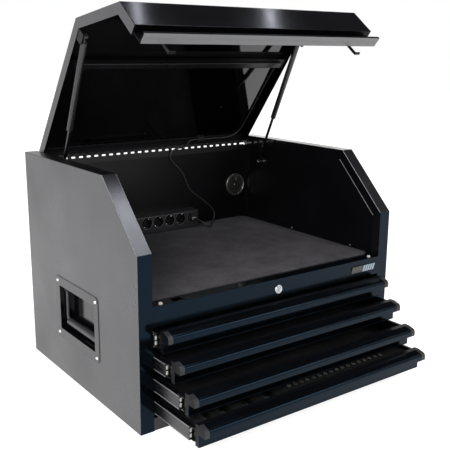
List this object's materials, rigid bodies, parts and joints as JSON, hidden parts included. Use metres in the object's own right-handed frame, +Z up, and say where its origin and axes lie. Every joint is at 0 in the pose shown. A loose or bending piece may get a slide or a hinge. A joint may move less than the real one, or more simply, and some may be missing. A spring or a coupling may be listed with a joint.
{
  "type": "tool chest",
  "caption": "Black sheet-steel tool chest with a folded lid held up by gas struts, a lined work deck and roller-slide drawers in front.",
  "frame": {"origin": "centre of the case's base on the floor", "axes": "+X to the chest's right as seen from the front, +Y to the rear, +Z up"},
  "size_m": [0.7692, 0.7761, 0.9104],
  "materials": {
    "black_gloss": "gloss",
    "black_plastic": "matte",
    "black_satin": "satin",
    "foam": "matte",
    "gloss_plastic": "gloss",
    "grey_plastic": "matte",
    "light_plastic": "matte",
    "lock_metal": "polished",
    "mat_rubber": "matte",
    "steel_rod": "polished",
    "zinc": "satin"
  },
  "bodies": {
    "case": {"left_side_panel": "black_gloss", "right_side_panel": "black_gloss", "inner_walls": "black_gloss", "back_panel": "black_gloss", "base_pan": "black_gloss", "front_rail": "black_gloss", "work_deck": "black_gloss", "deck_mat": "mat_rubber", "rail_bumpers": "mat_rubber", "hinge_leaf_case": "black_satin", "hinge_pin": "zinc", "lock_body": "lock_metal", "name_plate": "black_satin", "handle_cups": "black_gloss", "case_fasteners": "zinc", "power_strip": "black_plastic", "usb_plug": "black_plastic", "grommet_ring": "black_plastic", "slide_outer_members": "zinc", "lead_lower": "black_plastic"},
    "lid": {"lid_shell": "black_gloss", "lid_pull_ledge": "black_gloss", "lid_hooks": "black_gloss", "hinge_leaf_lid": "black_satin", "lid_stiffener": "black_gloss", "led_strip": "light_plastic", "strut_lid_brackets": "black_gloss", "lead_upper": "black_plastic", "lead_connector": "black_plastic"},
    "left_strut_rod": {"strut_rod_left": "steel_rod"},
    "left_strut_tube": {"strut_tube_left": "black_satin"},
    "right_strut_rod": {"strut_rod_right": "steel_rod"},
    "right_strut_tube": {"strut_tube_right": "black_satin"},
    "lock_barrel": {"lock_barrel": "lock_metal"},
    "lock_bar": {"lock_bar": "black_gloss"},
    "left_bail": {"left_bail": "black_satin"},
    "right_bail": {"right_bail": "black_satin"},
    "power_switch": {"power_switch": "gloss_plastic"},
    "grommet_cap": {"grommet_cap": "grey_plastic"},
    "slide_1": {"slide_1_middle": "zinc"},
    "drawer_1": {"drawer_1_tray": "black_gloss", "drawer_1_pull": "black_gloss", "drawer_1_pull_caps": "black_plastic", "drawer_1_slides": "zinc"},
    "slide_2": {"slide_2_middle": "zinc"},
    "drawer_2": {"drawer_2_tray": "black_gloss", "drawer_2_pull": "black_gloss", "drawer_2_pull_caps": "black_plastic", "drawer_2_slides": "zinc"},
    "slide_3": {"slide_3_middle": "zinc"},
    "drawer_3": {"drawer_3_tray": "black_gloss", "drawer_3_pull": "black_gloss", "drawer_3_pull_caps": "black_plastic", "drawer_3_slides": "zinc"},
    "slide_4": {"slide_4_middle": "zinc"},
    "drawer_4": {"drawer_4_tray": "black_gloss", "drawer_4_pull": "black_gloss", "drawer_4_pull_caps": "black_plastic", "drawer_4_slides": "zinc", "drawer_4_foam": "foam"}
  },
  "joints": [
    {"name": "lid_hinge", "type": "hinge", "parent": "case", "child": "lid", "pos_m": [0, 0.2848, 0.532], "axis": [-1, 0, 0], "range_deg": [-52.3, 0]},
    {"name": "left_strut_swing", "type": "hinge", "parent": "case", "child": "left_strut_rod", "pos_m": [-0.326, 0.195, 0.48], "axis": [-1, 0, 0], "range_deg": [-58.36, 0]},
    {"name": "left_strut_stroke", "type": "slide", "parent": "left_strut_rod", "child": "left_strut_tube", "axis": [0, -0.425, 0.9052], "range_m": [-0.08362, 0]},
    {"name": "right_strut_swing", "type": "hinge", "parent": "case", "child": "right_strut_rod", "pos_m": [0.326, 0.195, 0.48], "axis": [-1, 0, 0], "range_deg": [-58.36, 0]},
    {"name": "right_strut_stroke", "type": "slide", "parent": "right_strut_rod", "child": "right_strut_tube", "axis": [0, -0.425, 0.9052], "range_m": [-0.08362, 0]},
    {"name": "lock_turn", "type": "hinge", "parent": "case", "child": "lock_barrel", "pos_m": [0, -0.292, 0.2615], "axis": [0, -1, 0], "range_deg": [0, 90]},
    {"name": "lock_bar_slide", "type": "slide", "parent": "case", "child": "lock_bar", "axis": [-1, 0, 0], "range_m": [0, 0.012]},
    {"name": "left_handle_swing", "type": "hinge", "parent": "case", "child": "left_bail", "pos_m": [-0.36525, 0.009, 0.225], "axis": [0, 1, 0], "range_deg": [0, 90]},
    {"name": "right_handle_swing", "type": "hinge", "parent": "case", "child": "right_bail", "pos_m": [0.36525, 0.009, 0.225], "axis": [0, -1, 0], "range_deg": [0, 90]},
    {"name": "slide_1_travel", "type": "slide", "parent": "case", "child": "slide_1", "axis": [0, -1, 0], "range_m": [-0.026, 0.224]},
    {"name": "drawer_1_travel", "type": "slide", "parent": "slide_1", "child": "drawer_1", "axis": [0, -1, 0], "range_m": [0, 0.25]},
    {"name": "slide_2_travel", "type": "slide", "parent": "case", "child": "slide_2", "axis": [0, -1, 0], "range_m": [-0.07, 0.18]},
    {"name": "drawer_2_travel", "type": "slide", "parent": "slide_2", "child": "drawer_2", "axis": [0, -1, 0], "range_m": [0, 0.25]},
    {"name": "slide_3_travel", "type": "slide", "parent": "case", "child": "slide_3", "axis": [0, -1, 0], "range_m": [-0.122, 0.128]},
    {"name": "drawer_3_travel", "type": "slide", "parent": "slide_3", "child": "drawer_3", "axis": [0, -1, 0], "range_m": [0, 0.25]},
    {"name": "slide_4_travel", "type": "slide", "parent": "case", "child": "slide_4", "axis": [0, -1, 0], "range_m": [-0.159, 0.091]},
    {"name": "drawer_4_travel", "type": "slide", "parent": "slide_4", "child": "drawer_4", "axis": [0, -1, 0], "range_m": [0, 0.25]},
    {"name": "power_switch_rock", "type": "hinge", "parent": "case", "child": "power_switch", "pos_m": [0.102, 0.2488, 0.323], "axis": [1, 0, 0], "range_deg": [0, 12]},
    {"name": "grommet_cap_turn", "type": "hinge", "parent": "case", "child": "grommet_cap", "pos_m": [0.305, 0.2858, 0.397], "axis": [0, 1, 0], "range_deg": [0, 180]}
  ],
  "couplings": [
    {"joint": "left_strut_swing", "follows": "lid_hinge", "ratio": 1.1149},
    {"joint": "left_strut_stroke", "follows": "lid_hinge", "m_per_rad": 0.091499},
    {"joint": "right_strut_swing", "follows": "lid_hinge", "ratio": 1.1149},
    {"joint": "right_strut_stroke", "follows": "lid_hinge", "m_per_rad": 0.091499},
    {"joint": "lock_bar_slide", "follows": "lock_turn", "m_per_rad": 0.0076394}
  ]
}
